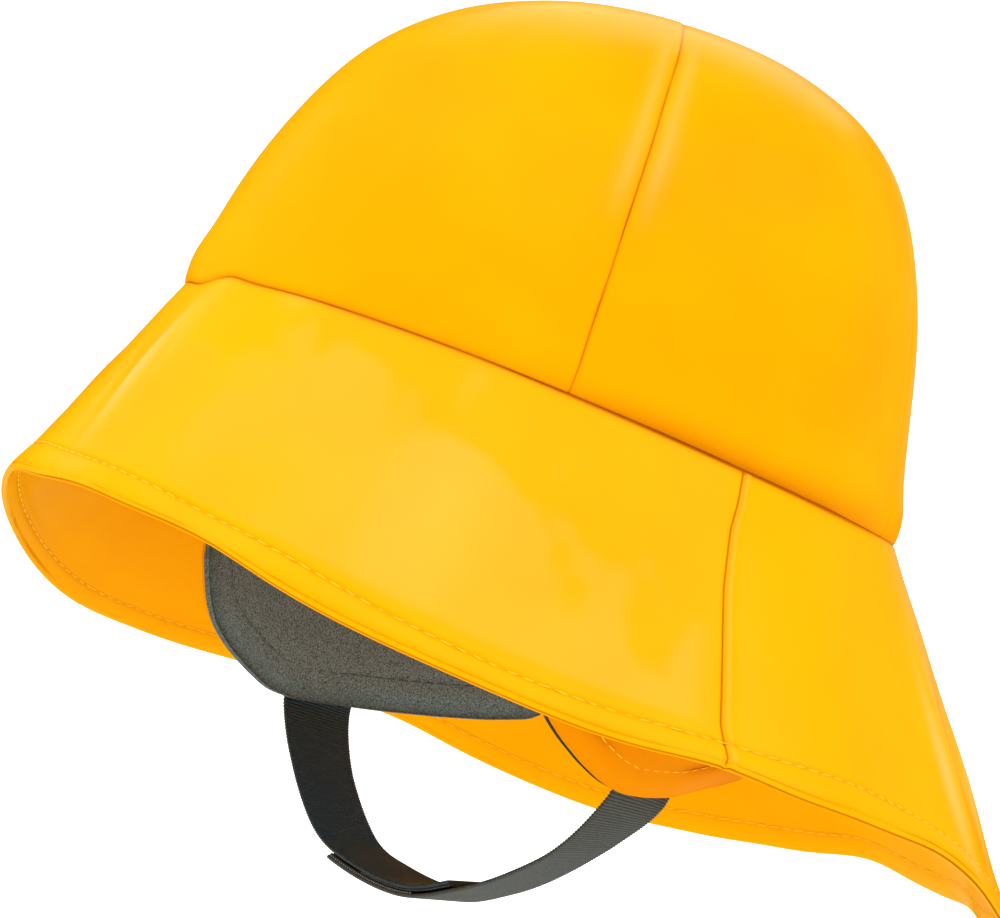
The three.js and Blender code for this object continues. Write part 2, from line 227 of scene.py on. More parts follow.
def soft_noise(across, along, size, seed):
    """Smooth random heights, from -1 to 1, on a plane, with bumps of about the given size."""
    values = np.random.default_rng(seed).uniform(-1, 1, (64, 64))
    x, y = across / size, along / size
    left, low = np.floor(x).astype(int), np.floor(y).astype(int)
    u, v = x - left, y - low
    u, v = u * u * (3 - 2 * u), v * v * (3 - 2 * v)
    pick = lambda i, j: values[i % 64, j % 64]
    near = pick(left, low) * (1 - u) + pick(left + 1, low) * u
    far = pick(left, low + 1) * (1 - u) + pick(left + 1, low + 1) * u
    return near * (1 - v) + far * v


def creases(across, along, rows):
    """Raised or lowered soft lines. Each row has its middle, its turn from level in degrees, its
    half length and half width, and its height."""
    total = 0 * across + 0 * along
    for middle_across, middle_along, turn, length, width, height in rows:
        cos, sin = math.cos(math.radians(turn)), math.sin(math.radians(turn))
        x, y = across - middle_across, along - middle_along
        total = total + height * bump_at(x * cos + y * sin, 0, length) * bump_at(y * cos - x * sin, 0, width)
    return total


# %% Helpers that turn grids of points into meshes
SHARP_ANGLE = 65


def normals_of(surface, across, along, step=1e-3):
    """The surface's unit normals, from its slopes in both directions."""
    eastward = surface(across + step, along) - surface(across - step, along)
    upward = surface(across, along + step) - surface(across, along - step)
    return unit(np.cross(eastward, upward))


def mesh_object(name, points, faces, material, merge, marks):
    """A smooth-shaded mesh in metres, with its faces pointing outwards. marks are named point
    values for the materials, such as painted shade in seams, grooves and gaps, the gloss of the
    coat, and painted highlights beside seams and along folds."""
    mesh = bpy.data.meshes.new(name)
    mesh.from_pydata((np.asarray(points, float) * 0.001).tolist(), [], faces)
    for label, values in marks.items():
        mark = mesh.attributes.new(label, "FLOAT", "POINT")
        mark.data.foreach_set("value", values.ravel().astype(np.float32))
    cleaner = bmesh.new()
    cleaner.from_mesh(mesh)
    if merge:
        bmesh.ops.remove_doubles(cleaner, verts=cleaner.verts, dist=1e-7)
        bmesh.ops.dissolve_degenerate(cleaner, edges=cleaner.edges, dist=1e-7)
    if cleaner.calc_volume(signed=True) < 0:
        bmesh.ops.reverse_faces(cleaner, faces=cleaner.faces)
    cleaner.to_mesh(mesh)
    cleaner.free()
    mesh.shade_smooth()
    mesh.set_sharp_from_angle(angle=math.radians(SHARP_ANGLE))
    mesh.materials.append(material)
    return add_object(name, mesh)


def wall_of_sections(name, sections, material, merge=False, **marks):
    """A closed body from a row of closed sections. sections[i][j] is point j of section i, and
    point j faces point -1-j across the wall, so the two ends can be capped."""
    count, around = sections.shape[:2]
    at = lambda i, j: i * around + j % around
    faces = []
    for i in range(count - 1):
        faces += [(at(i, j), at(i, j + 1), at(i + 1, j + 1), at(i + 1, j)) for j in range(around)]
    for i, flipped in ((0, True), (count - 1, False)):
        for j in range(around // 2 - 1):
            cap = (at(i, j), at(i, j + 1), at(i, around - 2 - j), at(i, around - 1 - j))
            faces.append(cap[::-1] if flipped else cap)
    return mesh_object(name, sections.reshape(-1, 3), faces, material, merge, marks)


def finish_piece(piece, *nodes, slot):
    """The piece stands for its solids and rides on the hat's one body. Its slot is not used."""
    if nodes:
        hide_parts(*nodes)
    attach(piece, "root")
    print(piece.name, "has", len(piece.data.polygons), "faces")


# %% [markdown]
# ## Materials
# The rain cloth is a knit with a smooth plastic coat: an even, strong colour, a soft gloss and
# a very fine grain. Shader maths is written as Python here. A Value wraps a socket, so that an
# expression on it adds its own Math nodes.


# %% Node trees written as Python
class Value:
    """A socket that takes part in arithmetic."""

    def __init__(self, tree, socket):
        self.tree, self.socket = tree, socket

    def _math(self, operation, first, second):
        return self.tree.node("ShaderNodeMath", {"operation": operation}, {0: first, 1: second})

    def __add__(self, other):
        return self._math("ADD", self, other)

    def __sub__(self, other):
        return self._math("SUBTRACT", self, other)

    def __rsub__(self, other):
        return self._math("SUBTRACT", other, self)

    def __mul__(self, other):
        return self._math("MULTIPLY", self, other)

    def __truediv__(self, other):
        return self._math("DIVIDE", self, other)

    def __pow__(self, other):
        return self._math("POWER", self, other)

    __radd__, __rmul__ = __add__, __mul__


class Tree:
    """A node tree whose nodes all come from one method."""

    def __init__(self, tree):
        self.tree = tree

    def node(self, kind, settings=None, inputs=None, output=0):
        made = self.tree.nodes.new(kind)
        for name, value in (settings or {}).items():
            if name == "stops":
                while len(made.color_ramp.elements) < len(value):
                    made.color_ramp.elements.new(0.5)
                for element, (place, colour) in zip(made.color_ramp.elements, value):
                    element.position, element.color = place, colour
            else:
                setattr(made, name, value)
        for name, value in (inputs or {}).items():
            if isinstance(value, Value):
                self.tree.links.new(value.socket, made.inputs[name])
            else:
                made.inputs[name].default_value = value
        return None if output is None else Value(self, made.outputs[output])

    def noise(self, scale, detail):
        """Noise on the object's own coordinates, which are in metres."""
        place = self.node("ShaderNodeTexCoord", output="Object")
        return self.node("ShaderNodeTexNoise", inputs={"Vector": place, "Scale": scale, "Detail": detail})

    def mark(self, name):
        """A named point value of the mesh, which is 0 where the mesh has none."""
        return self.node("ShaderNodeAttribute", {"attribute_name": name}, output=2)

    def mix(self, share, first, second):
        return self.node("ShaderNodeMix", {"data_type": "RGBA"}, {0: share, 6: first, 7: second}, output=2)

    def bump(self, strength, height):
        return self.node("ShaderNodeBump", inputs={"Strength": strength, "Distance": 1, "Height": height})

    def feed(self, shader, values):
        """Links or sets the shader's sockets by name."""
        for socket, value in values.items():
            if isinstance(value, Value):
                self.tree.links.new(value.socket, shader.inputs[socket])
            else:
                shader.inputs[socket].default_value = value


def finish_tree(name):
    """A material with a Principled shader, its tree and the shader's node."""
    material = bpy.data.materials.new(name)
    material.use_nodes = True
    tree = Tree(material.node_tree)
    return material, tree, material.node_tree.nodes["Principled BSDF"]


# %% Rain cloth
# The first colour is painted shade, mixed in at seams, grooves, gaps and stitch lines; the second is a
# painted highlight, mixed in beside seams and along folds.
SEAM_SHADE, PAINTED_HIGHLIGHT_COLOUR = (0.36, 0.075, 0.0003, 1), (0.86, 0.43, 0.1, 1)


def rain_cloth(name, colour, deep, roughness, gloss, coat):
    """Coated cloth: fine grain, slow unevenness in colour and gloss, and a thin clear coat
    where the cloth is stretched smooth. Its colour carries painted highlights and painted shade
    from the mesh's point marks."""
    material, tree, shader = finish_tree(name)
    slow, grain, dents = tree.noise(28, 2), tree.noise(1500, 3), tree.noise(90, 2)
    cloth = tree.mix(slow * 2.4 - 0.8 + (grain - 0.5) * 0.12, colour, deep)
    # A painted highlight, then painted shade, are mixed into the cloth's colour
    highlighted_cloth = tree.mix(tree.mark("streak"), cloth, PAINTED_HIGHLIGHT_COLOUR)
    sockets = {
        "Base Color": tree.mix(tree.mark("sunk"), highlighted_cloth, SEAM_SHADE),
        "Roughness": roughness + (slow - 0.5) * 0.1 + (grain - 0.5) * 0.05,
        "Normal": tree.bump(0.5, grain * 0.00003 + dents * 0.0002),
        "Specular IOR Level": gloss,
        "Coat Weight": tree.mark("shine") * coat,
        "Coat Roughness": 0.22,
    }
    tree.feed(shader, sockets)
    return material


# One rain cloth in three colours: painted lighter on the brim, which faces up into the light, a little darker
# on the crown, and darker still on the flaps, which hang in the brim's shade
crown_cloth = rain_cloth(
    "crown rain cloth",
    colour=(0.82, 0.322, 0.0004, 1),
    deep=(0.8, 0.282, 0.0003, 1),
    roughness=0.3,
    gloss=0.003,
    coat=0.05,
)
brim_cloth = rain_cloth(
    "brim rain cloth",
    colour=(0.82, 0.352, 0.0004, 1),
    deep=(0.8, 0.322, 0.0003, 1),
    roughness=0.25,
    gloss=0.007,
    coat=0.06,
)
flap_cloth = rain_cloth(
    "flap rain cloth",
    colour=(0.71, 0.247, 0.0004, 1),
    deep=(0.69, 0.228, 0.0003, 1),
    roughness=0.36,
    gloss=0.006,
    coat=0,
)


# %% Fleece, webbing, pads and thread
def fleece_finish():
    """Short pile: a fine speckle of lit and dark tips, and no gloss. Its edges take painted shade."""
    material, tree, shader = finish_tree("grey fleece")
    pile, tufts = tree.noise(2600, 4), tree.noise(420, 3)
    stops = ((0.34, (0.055, 0.067, 0.061, 1)), (0.66, (0.235, 0.29, 0.27, 1)))
    speckle = tree.node("ShaderNodeValToRGB", {"stops": stops}, {0: pile * 0.92 + tufts * 0.08})
    sockets = {
        "Base Color": tree.mix(tree.mark("sunk"), speckle, (0.022, 0.017, 0.005, 1)),
        "Normal": tree.bump(0.7, pile * 0.00012 + tufts * 0.00015),
        "Roughness": 1,
        "Specular IOR Level": 0,
    }
    tree.feed(shader, sockets)
    return material


def dark_cloth(name, dark, light, roughness, scale, gloss, low=None):
    """Woven or pressed dark cloth with a fine thread grain. low is the tint of its upper face
    at its lower end, which makes up for the yellow light of the brim there."""
    material, tree, shader = finish_tree(name)
    grain = tree.noise(scale, 3)
    tone = tree.node("ShaderNodeValToRGB", {"stops": ((0.3, dark), (0.7, light))}, {0: grain})
    if low:
        place = tree.node("ShaderNodeTexCoord", output="Object")
        height = tree.node("ShaderNodeSeparateXYZ", inputs={0: place}, output=2)
        share = tree.node("ShaderNodeMapRange", inputs={0: height, 1: -0.075, 2: -0.112})
        tone = tree.mix(share * tree.mark("upper"), tone, low)
    relief = tree.bump(0.5, grain * 0.0001)
    sockets = {"Base Color": tone, "Normal": relief, "Roughness": roughness, "Specular IOR Level": gloss}
    tree.feed(shader, sockets)
    return material


def thread_finish(name, colour):
    """Dull twisted thread, with painted shade for the hollows of its twist: a fine mottle toward a tone a
    quarter darker.
    """
    material, tree, shader = finish_tree(name)
    tone = tree.mix(tree.noise(4000, 2) * 0.6, colour, [v * 0.75 for v in colour[:3]] + [1])
    tree.feed(shader, {"Base Color": tone, "Roughness": 0.7, "Specular IOR Level": 0.03})
    return material


fleece = fleece_finish()
webbing = dark_cloth(
    "grey webbing",
    dark=(0.026, 0.029, 0.022, 1),
    light=(0.048, 0.054, 0.042, 1),
    roughness=0.55,
    scale=1800,
    gloss=0.25,
)
# The right half's webbing is darker and bluer than the left's. Its blue is a painted tint against the brim's
# yellow light, bluer still at its lower end
inner_webbing = dark_cloth(
    "dark webbing",
    dark=(0.016, 0.022, 0.019, 1),
    light=(0.032, 0.044, 0.04, 1),
    roughness=0.45,
    scale=1800,
    gloss=0.2,
    low=(0.011, 0.052, 0.092, 1),
)
pad_cloth = dark_cloth(
    "hook and loop pad",
    dark=(0.012, 0.012, 0.011, 1),
    light=(0.04, 0.04, 0.036, 1),
    roughness=0.5,
    scale=1400,
    gloss=0.3,
)
yellow_thread = thread_finish("yellow thread", (0.98, 0.56, 0.035, 1))
grey_thread = thread_finish("grey thread", (0.11, 0.12, 0.11, 1))
hook_plastic = thread_finish("hook plastic", (0.16, 0.15, 0.13, 1))
print("materials:", len(bpy.data.materials))

# %% [markdown]
# ## Crown
# Four gores are sewn edge to edge. At each seam the cloth turns inwards, so it shows as a fine
# groove between two soft rolls, darkened with painted shade. The lower edge is turned in over
# the brim and stands a little above it; the dark line there is painted shade too. Each gore is
# a grid on the crown's own surface, with finer steps where the cloth rolls, because the surface
# follows a rule that a sculpted mesh would only approximate.

# %% The crown's surface
SEAM_DEPTH, SEAM_ROLL = 0.55, 0.6
CROWN_FULLNESS = ((138, 16, 0.8),)
TURN_IN = ((95, 45, 1), (-95, 45, 0.6))
# Painted shade along the crown's lower edge where its cloth turns under: middle, half width and strength of
# each row
UNDER_ROLL_SHADE = ((72, 20, 0.42), (100, 16, 0.34), (-75, 24, 0.25), (180, 30, 0.2))
CROWN_CREASES = {
    "front": ((61, 52, 78, 30, 5, -0.5), (57, 96, 80, 24, 6, 0.35), (-30, 14, 12, 26, 6, 0.3)),
    "left": (
        (-52, 60, 97, 30, 4.5, 0.45),
        (-44, 58, 97, 34, 5, -0.45),
        (40, 14, 60, 14, 5, 0.5),
        (20, 9, 4, 34, 4, 0.3),
    ),
    "back": (),
    "right": (),
}


def crown_point(angle, climb, across):
    """A point of the crown's plain surface. climb runs from 0 at the brim to 1 at the tip, and
    across from 0 to 1 between the seams of a gore, which swells between them."""
    left = 1 - climb
    weights = left**3, 3 * left * left * climb, 3 * left * climb * climb, climb**3
    reach = weights[0] + weights[1] * round_head(angle, CROWN_PROFILE["wall_reach"])
    reach = reach + weights[2] * round_head(angle, CROWN_PROFILE["top_reach"])
    rise = weights[1] * round_head(angle, CROWN_PROFILE["wall_rise"]) + weights[2] + weights[3]
    swell = PANEL_PUFF * (np.sin(np.pi * across) - SEAM_SHARE_OF_PUFF)
    swell = swell * np.sin(np.pi * np.minimum(climb * 1.15, 1))
    point = ring_point(angle, BAND_HALF_LENGTH, BAND_HALF_WIDTH) * reach[..., None]
    point = point + ring_outward(angle) * swell[..., None]
    point[..., 1] -= TIP_FORWARD * rise
    point[..., 2] = seam_height(angle) * (1 - rise) + CROWN_HEIGHT * rise
    point[..., 2] += waves(angle, SEAM_PUCKERS) * (1 - climb) ** 12
    return point


def seam_gap(angle):
    """How far the crown's edge stands above the brim. The dark line there is painted shade as well."""
    return 0.2 + waves(angle, ((72, 28, 0.6), (-72, 28, 0.3)))


def gore_relief(turn, climb, climb_length, narrowing, from_start, from_end, crease_rows, seed):
    """How far the cloth stands out from the crown's plain surface, in millimetres."""
    relief = 0 * climb
    rising = smooth_step(climb_length, 20, 55) * (1 - smooth_step(climb_length, 75, 95))
    depth = SEAM_DEPTH * (1 - 0.6 * smooth_step(climb_length, 60, 90))
    for distance, phase in ((from_start, seed), (from_end, seed + 7)):
        pucker = 1 + 0.35 * soft_noise(climb_length, 0 * climb_length, 7, phase)
        relief = relief - depth * pucker * bump_at(distance, 0, SEAM_ROLL) * smooth_step(narrowing, 0, 0.05)
        relief = relief + 0.3 * pucker * bump_at(distance, 3.4, 1.7) * rising
    turn_in = waves(turn, TURN_IN)
    relief = relief - (1 + turn_in) * np.exp(-((climb_length / (1.3 + 1.3 * turn_in)) ** 1.5))
    relief = relief + (0.35 + 0.5 * turn_in) * bump_at(climb_length, 8, 4.5) * smooth_step(climb_length, 0, 6)
    relief = relief + waves(turn, CROWN_FULLNESS) * bump_at(climb_length, 55, 30)
    side = (from_start - from_end) / 2
    relief = relief + 0.4 * soft_noise(side + 500, climb_length, 24, seed)
    relief = relief + 0.12 * soft_noise(side + 500, climb_length, 9, seed + 3) * bump_at(climb_length, 0, 22)
    relief = relief + creases(side, climb_length, crease_rows)
    return relief * smooth_step(1 - climb, 0, 0.03)


def gore_marks(turn, climb_length, narrowing, from_start, from_end):
    """Painted shade, gloss and painted highlight of the gore's outside. Its inside has none."""
    # Painted shade in the seam grooves, in the dark line along the lower edge, and in the band above it where
    # the cloth turns under
    sunk = 0.6 * (bump_at(from_start, 0, 0.2) + bump_at(from_end, 0, 0.2)) * smooth_step(narrowing, 0, 0.03)
    sunk = np.maximum(sunk, 0.9 * np.exp(-climb_length / 0.35))
    sunk = np.maximum(sunk, waves(turn, UNDER_ROLL_SHADE) * np.exp(-((climb_length / 3.6) ** 2)))
    from_seam = np.minimum(from_start, from_end)
    beside = bump_at(from_seam, 4, 2.2) * smooth_step(climb_length, 38, 60)
    shine = np.maximum(beside, smooth_step(climb_length, 84, 97))
    # A painted highlight pales the colour beside the seams, from halfway up and fading near the tip
    painted_highlight_share = bump_at(from_seam, 3.3, 1.4) * smooth_step(climb_length, 36, 62)
    marks = {"sunk": sunk, "shine": shine, "streak": 0.26 * painted_highlight_share * (1 - smooth_step(climb_length, 88, 108))}
    return {label: np.concatenate([values, 0 * values], axis=1) for label, values in marks.items()}


def crown_gore(name, start, end, crease_rows, seed):
    """One gore, as a grid of points from seam to seam and from the lower edge to the tip."""

    def surface(across, climb):
        return crown_point(start + (end - start) * across, climb, np.clip(across, 0, 1))

    width = (end - start) * ring_stretch((start + end) / 2)
    climb = spread(150, 0.25, 2.4, both_ends=False)
    across, climb = np.broadcast_arrays(spread(width, 0.3, 2.6)[:, None], climb[None, :])
    turn = start + (end - start) * across
    points = surface(across, climb)
    outward = normals_of(surface, np.clip(across, 0.002, 0.998), np.minimum(climb, 0.97))
    outward = outward * np.sign((outward * (points - [0, 0, -30])).sum(-1, keepdims=True))
    left = 1 - climb
    narrowing = left**3 + 3 * left * climb * (left + climb * 0.7)
    from_start = across * (end - start) * ring_stretch(turn) * narrowing
    from_end = (1 - across) * (end - start) * ring_stretch(turn) * narrowing
    steps = np.linalg.norm(np.diff(points, axis=1, prepend=points[:, :1]), axis=-1)
    place = (np.cumsum(steps, axis=1), narrowing, from_start, from_end)
    relief = gore_relief(turn, climb, *place, crease_rows, seed)
    outer = points + outward * relief[..., None]
    inner = points + outward * (np.minimum(relief, 0.4) - CROWN_WALL)[..., None]
    lift = seam_gap(turn) * np.exp(-place[0] / 2)
    outer[..., 2] += lift
    inner[..., 2] += lift
    sections = np.concatenate([outer, inner[:, ::-1]], axis=1)
    return wall_of_sections(name, sections, crown_cloth, merge=True, **gore_marks(turn, *place))


# %% Four gores
GORES = {
    "front": (-FRONT_SEAM, FRONT_SEAM),
    "left": (FRONT_SEAM, REAR_SEAM),
    "back": (REAR_SEAM, 360 - REAR_SEAM),
    "right": (360 - REAR_SEAM, 360 - FRONT_SEAM),
}
for seed, (place, (start, end)) in enumerate(GORES.items()):
    gore = crown_gore(f"crown_{place}", start, end, CROWN_CREASES[place], seed * 11 + 1)
    finish_piece(gore, f"crown_{place}_panel", slot="crown_cloth")

# %% [markdown]
# ## Brim
# The brim is a sloping skirt of two pieces, joined over the ears. Its edge is turned in and
# stitched down, so the hem is a double band with a soft roll at its lip. A section of the
# brim is one closed line: down the outside, round the lip and up the inside.

# %% The brim's surface
BRIM_CREASES = (
    (-20, 27, 88, 14, 2.4, 0.9),
    (-28, 30, 80, 16, 3.6, -0.5),
    (-62, 22, 62, 14, 3.2, 0.6),
    (30, 20, 80, 22, 9, -0.4),
    (240, 57, 51, 26, 3, 1.1),
    (246, 52, 51, 24, 3, -0.8),
    (255, 56, 51, 20, 3, 0.6),
)
BRIM_FOLDS = ((14, 7, -1.5), (28, 9, 1.05), (96, 7, 1.2), (138, 18, 1.3), (152, 7, -2.1), (196, 8, 2.4))
HEM_WAVES = ((-28, 14, 2.2), (158, 5, 1.6), (178, 6, 2.2), (196, 5, -0.7))
HEM_WAVES = HEM_WAVES + ((217, 10, 0.6), (231, 6, 0.9), (271, 9, 0.9))
LIP_LIFTS = ((-3, 10, 2.2), (15, 10.5, 3.5), (50, 16, 0.9), (79, 9, 2.2), (111, 9, 2.6), (121, 7, 1.4))
# Where the brim's coat is glossier and its colour takes a painted highlight, in rows as for creases()
SHINE_STREAKS = ((-20, 29, 88, 15, 2.6, 1), (236, 57, 51, 26, 1.6, 1), (257, 62, 60, 22, 1.2, 0.8))
SEAM_WANDER = ((0, 1.6), (0.1, 0.9), (0.2, -0.2), (0.4, -0.9), (0.84, -1))
SEAM_WANDER = SEAM_WANDER + ((0.92, -0.45), (0.96, -0.3), (1, -0.7))
LIP = ((0.0, -1.1), (-0.04, -0.5), (-0.18, -0.12), (-0.42, 0.04), (-0.66, -0.05), (-0.82, -0.3))
LIP = LIP + ((-0.92, -0.25), (-1.06, 0.16), (-1.26, 0.3), (-1.46, 0.14), (-1.6, -0.4), (-1.6, -1.1))
LIP_FILLS = (0, 0, 0, 0, 0.1, 0.38, 0.38, 0, 0, 0, 0, 0)
# How much painted shade each lip point takes, darkest in the lip's groove
LIP_SHADES = (0, 0, 0, 0, 0.25, 0.8, 0.8, 0.25, 0, 0, 0, 0)
TUCK_OUTSIDE = ((-1.35, 3.2), (-1.3, 1.1), (-0.75, 0.35))
TUCK_INSIDE = ((-1.5, -0.4), (-1.9, 1.0), (-2.0, 3.2))
BRIM_STRETCH = 1.3
LIP_WALL = 1.6
INNER_STITCH = 5.7
STITCH_WAVES, INNER_STITCH_WAVES = ((56, 30, -2.5),), ((-55, 35, -1),)


def brim_length(angle):
    """From the crown's seam to the edge, in millimetres."""
    frontness = (1 + np.cos(np.radians(angle))) / 2
    return (BRIM_BACK + (BRIM_FRONT - BRIM_BACK) * frontness) * round_brim(angle, BRIM_LENGTHS)


def wander(angle, share):
    """Degrees by which the cloth near the left seam runs aside, so that the seam isn't straight."""
    shares, degrees = zip(*SEAM_WANDER)
    return np.interp(share, shares, degrees) * bump_at(turned(angle, BRIM_SEAM), 0, 9)


def brim_point(angle, share):
    """A point of the brim's plain surface. share runs from 0 at the crown to 1 at the edge."""
    angle = angle + wander(angle, share)
    length = brim_length(angle)
    bend = np.radians(round_head(angle, BRIM_BEND))
    seam_slope = np.radians(round_brim(angle, BRIM_SLOPES)) - bend / 2
    slope_here = seam_slope + bend * share
    slope_so_far = (seam_slope + slope_here) / 2
    out = length * share * np.cos(slope_so_far)
    down = length * share * np.sin(slope_so_far)
    fold = waves(angle, BRIM_FOLDS) * share
    point = ring_point(angle, BAND_HALF_LENGTH, BAND_HALF_WIDTH)
    point = point + ring_outward(angle) * (out - CROWN_OVERHANG + fold * np.sin(slope_here))[..., None]
    point[..., 2] = seam_height(angle) - down + fold * np.cos(slope_here) + waves(angle, HEM_WAVES) * share**3
    point[..., 2] += waves(angle, SEAM_PUCKERS) * (1 - share) ** 5 + waves(angle, LIP_LIFTS) * share**12
    return point


def stitch_inset(angle, outside):
    """How far the hem's stitches run from the edge. The hem is rolled, so the two sides differ."""
    if outside:
        return HEM_STITCH + waves(angle, STITCH_WAVES)
    return INNER_STITCH + waves(angle, INNER_STITCH_WAVES)


def brim_relief(angle, share, outside):
    """How far the cloth stands out from the brim's plain surface, in millimetres. At the hem it
    swells between the edge and the stitches, which lie in a dip of their own."""
    length = brim_length(angle)
    along = angle * ring_stretch(angle) * (1 + 0.35 * share)
    down = share * length
    from_edge = length - down
    away = 1 - bump_at(turned(angle, -BRIM_SEAM), 0, 9)
    puckers = away * soft_noise(along, from_edge / 3, 5, 41) * bump_at(from_edge, 6, 9)
    inset = stitch_inset(angle, outside)
    dip = bump_at(from_edge, inset, 0.5) * (0.26 + 0.1 * np.cos(2 * np.pi * along / 3.8))
    pillow = np.sin(np.pi * np.clip(from_edge / inset, 0, 1)) * 0.3
    relief = away * 0.35 * soft_noise(along + 300, down, 26, 5) + creases(along, down, BRIM_CREASES)
    if outside:
        return relief + pillow - dip + 0.14 * puckers
    return relief - pillow * 0.2 + dip * 0.5 + 0.14 * puckers


def brim_shine(angle, share, from_edge):
    """Where the cloth is stretched smooth: a broad patch over the front, with an uneven edge, and
    streaks along the folds. The streaks are given once more on their own, for the painted
    highlight."""
    along = angle * ring_stretch(angle)
    ragged = 0.22 * soft_noise(along + 900, share * 60, 13, 61)
    ragged = ragged + 0.12 * soft_noise(along + 900, share * 60, 5, 62)
    top = 0.08 + 0.5 * smooth_step(angle, 22, 80)
    patch = smooth_step(share + ragged, top, top + 0.16) * smooth_step(angle + 30 * ragged, -44, -32)
    patch = patch * (1 - smooth_step(angle, 74, 79)) * smooth_step(from_edge, 9, 12)
    streaks = creases(along * (1 + 0.35 * share), share * brim_length(angle), SHINE_STREAKS)
    return np.clip(patch + streaks, 0, 1), np.clip(streaks, 0, 1)


def hem_wall(past_stitches):
    """The wall's thickness by its distance above the hem's inner stitches."""
    return BRIM_WALL + (LIP_WALL - BRIM_WALL) * (1 - smooth_step(past_stitches, -2, 4))


def brim_grid(angle):
    """Angle and share of the brim's length for each point, with fine steps at top and hem."""
    shares = spread(60, 0.35, 2.4, both_ends=False) * 0.72
    hem = 1 - np.linspace(16, 1.25, 26) / 74
    shares = np.concatenate([shares[shares < hem[0] - 0.01], hem])
    return np.broadcast_arrays(angle[:, None], shares[None, :])


def brim_lip(angle, normal, near_seam, open_here):
    """The points round the lip. LIP has their depths and their reaches past the edge. Where the
    lip isn't open, its groove is filled."""
    edge = brim_point(angle, 1 + 0 * angle)
    down = unit(edge - brim_point(angle, 0.98 + 0 * angle))
    rows = []
    for (depth, reach), fill in zip(LIP, LIP_FILLS):
        dip = near_seam * (1 + depth / LIP_WALL)
        past = reach + fill * (1 - open_here)
        rows.append(edge + normal * (depth + dip)[:, None] + down * past[:, None])
    return np.stack(rows, axis=1)


def brim_tucks(angle):
    """The brim's top edge, which goes up under the crown, on the outside and on the inside."""
    top, flat = brim_point(angle, 0 * angle), ring_outward(angle)
    rows = lambda tucks: np.stack([top + flat * out + ZED * rise for out, rise in tucks], axis=1)
    return rows(TUCK_OUTSIDE), rows(TUCK_INSIDE)


def brim_marks(turn, share, from_edge, seam_distance, ridge, open_here):
    """Painted shade, gloss and painted highlight of each point of the brim's sections."""
    past_hem = lambda outside: (from_edge - stitch_inset(turn, outside))[:, 1:]
    # Painted shade along the stitch lines, in the seams, in the dark line under the crown's edge, on the
    # rolled lip, in the lip's groove and on the tucks hidden under the crown
    outside, inside = (0.3 * bump_at(past_hem(side), 0, 0.4) for side in (True, False))
    seams = 0.6 * bump_at(seam_distance, 0, 0.2)[:, None]
    top = 0.9 * np.exp(-share[:, 1:] * brim_length(turn)[:, 1:] / 0.4)
    outside = np.maximum(np.maximum(seams, top), outside)
    outside = np.maximum(outside, 0.25 * bump_at(from_edge, 0, 1.7)[:, 1:])
    deep = np.ones((len(turn), 3))
    groove = np.array(LIP_SHADES) * open_here[:, None]
    sunk = np.concatenate([deep, outside, groove, inside[:, ::-1], deep], axis=1)
    shine, streak = 0 * sunk, 0 * sunk
    # The streaks from brim_shine are also laid into the colour as a painted highlight
    smooth, painted_highlight_share = brim_shine(turn, share, from_edge)
    shown = slice(3, 3 + outside.shape[1])
    shine[:, shown] = np.maximum(smooth, ridge[:, None])[:, 1:]
    streak[:, shown] = 0.7 * painted_highlight_share[:, 1:]
    return {"sunk": sunk, "shine": shine, "streak": streak}


def brim_section(angle, near_seam, seam_distance, ridge):
    """The closed section of the brim at each angle: outside, lip and inside, with its marks."""
    turn, share = brim_grid(angle)
    points = brim_point(turn, share)
    outward = normals_of(brim_point, turn, share)
    outward = outward * np.sign(outward[..., 2:3] + 1e-9)
    from_edge = brim_length(angle)[:, None] * (1 - share)
    outer = points + outward * (brim_relief(turn, share, True) + near_seam[:, None])[..., None]
    thick = hem_wall(from_edge - stitch_inset(turn, False))
    inner = points + outward * (brim_relief(turn, share, False) - thick)[..., None]
    open_here = smooth_step(angle, -30, -8) * (1 - smooth_step(angle, 165, 185))
    lip = brim_lip(angle, outward[:, -1], near_seam, open_here)
    tucked, tucked_inside = brim_tucks(angle)
    sections = np.concatenate([tucked, outer[:, 1:], lip, inner[:, :0:-1], tucked_inside], axis=1)
    return sections, brim_marks(turn, share, from_edge, seam_distance, ridge, open_here)


# %% Two brim pieces
def brim_piece(name, start, end):
    """One piece from seam to seam. Only the back piece has a ridge beside its seams."""
    width = (end - start) * ring_stretch((start + end) / 2) * BRIM_STRETCH
    angle = start + (end - start) * spread(width, 0.3, 2.2)
    from_start = (angle - start) * ring_stretch(angle) * BRIM_STRETCH
    from_end = (end - angle) * ring_stretch(angle) * BRIM_STRETCH
    near_seam = -0.6 * bump_at(np.minimum(from_start, from_end), 0, 0.6)
    ridge = 0 * angle
    if start > 0:
        near_seam = near_seam + 0.5 * bump_at(from_start, 1.6, 1.0) + 0.5 * bump_at(from_end, 1.6, 1.0)
        ridge = bump_at(from_start, 1.8, 0.9)
    sections, marks = brim_section(angle, near_seam, np.minimum(from_start, from_end), ridge)
    return wall_of_sections(name, sections, brim_cloth, **marks)


BRIM_PIECES = {"front": (-BRIM_SEAM, BRIM_SEAM), "back": (BRIM_SEAM, 360 - BRIM_SEAM)}
for place, (start, end) in BRIM_PIECES.items():
    finish_piece(brim_piece(f"brim_{place}_cloth", start, end), f"brim_{place}", slot="brim_cloth")

# %% [markdown]
# ## Ear flaps
# Each flap is two layers sewn together at the edge and turned: rain cloth outside and fleece
# towards the cheek. The layers close at the edge and stand apart in the middle, and the
# strap's end is sewn in between them.

# %% The flaps' surface and outline
STRAP_ANGLE = 100
STITCH_INSET = 7.0
FLAT_STRETCH = 1.32
CLOTH_SEED, FLEECE_SEED = 3, 4


